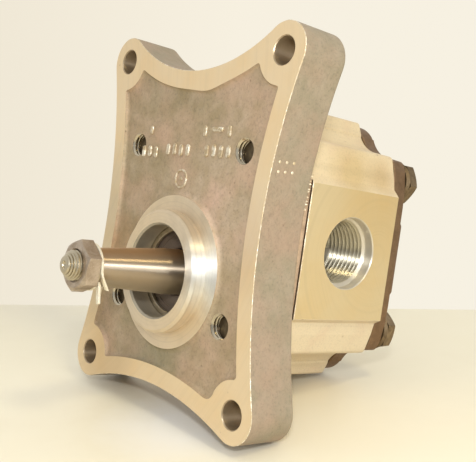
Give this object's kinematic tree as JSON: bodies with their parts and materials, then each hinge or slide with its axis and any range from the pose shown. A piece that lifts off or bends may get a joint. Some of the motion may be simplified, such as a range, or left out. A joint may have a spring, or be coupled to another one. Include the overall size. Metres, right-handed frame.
{
  "type": "hydraulic gear pump",
  "caption": "External gear pump with a four-lobe mounting flange, tapered drive shaft, aluminium body with threaded side ports and a bolted iron rear cover.",
  "frame": {"origin": "Where the drive shaft's axis crosses the flange's mounting face, at the centre of the locating pilot.", "axes": "+Y runs from the mounting face to the rear cover along the shafts, so the drive shaft points along -Y. +Z runs from the drive shaft to the driven shaft. +X is the side of the larger threaded port."},
  "size_m": [0.118, 0.1397, 0.1489],
  "materials": {
    "cast_flange": "sand-cast aluminium, grey-brown and mottled, with pale machined faces",
    "milled_body": "extruded aluminium with fly-cut port pads",
    "iron_cover": "dark oiled cast iron",
    "shaft_steel": "ground hardened steel",
    "plain_steel": "dull oiled steel",
    "spring_steel": "bright spring steel",
    "bolt_steel": "black oxide steel",
    "bearing_alloy": "turned bearing alloy",
    "bush_bronze": "bronze-lined bush",
    "seal_rubber": "matt nitrile rubber",
    "backup_plastic": "natural filled plastic"
  },
  "bodies": {
    "housing": {"mounting_flange": "cast_flange", "pump_body": "milled_body", "rear_cover": "iron_cover", "front_bearing_block": "bearing_alloy", "rear_bearing_block": "bearing_alloy", "front_drive_bush": "bush_bronze", "front_driven_bush": "bush_bronze", "rear_drive_bush": "bush_bronze", "rear_driven_bush": "bush_bronze", "front_pressure_seal": "seal_rubber", "rear_pressure_seal": "seal_rubber", "front_backup_ring": "backup_plastic", "rear_backup_ring": "backup_plastic", "front_body_seal": "seal_rubber", "rear_body_seal": "seal_rubber", "shaft_seal": "seal_rubber", "seal_garter_spring": "spring_steel", "seal_retaining_ring": "spring_steel", "through_bolt_upper_left": "bolt_steel", "through_bolt_upper_right": "bolt_steel", "through_bolt_lower_left": "bolt_steel", "through_bolt_lower_right": "bolt_steel", "bolt_washer_upper_left": "plain_steel", "bolt_washer_upper_right": "plain_steel", "bolt_washer_lower_left": "plain_steel", "bolt_washer_lower_right": "plain_steel", "front_dowel_pin_upper": "spring_steel", "front_dowel_pin_lower": "spring_steel", "rear_dowel_pin_upper": "spring_steel", "rear_dowel_pin_lower": "spring_steel"},
    "drive_shaft": {"drive_gear_shaft": "shaft_steel", "shaft_key": "plain_steel", "tab_washer": "spring_steel", "shaft_nut": "plain_steel"},
    "driven_shaft": {"driven_gear_shaft": "shaft_steel"}
  },
  "joints": [
    {"name": "drive_spin", "type": "hinge", "parent": "housing", "child": "drive_shaft", "pos_m": [0, 0, 0], "axis": [0, 1, 0], "continuous": true},
    {"name": "driven_spin", "type": "hinge", "parent": "housing", "child": "driven_shaft", "pos_m": [0, 0, 0.034], "axis": [0, 1, 0], "continuous": true}
  ],
  "couplings": [
    {"joint": "driven_spin", "follows": "drive_spin", "ratio": -1}
  ]
}
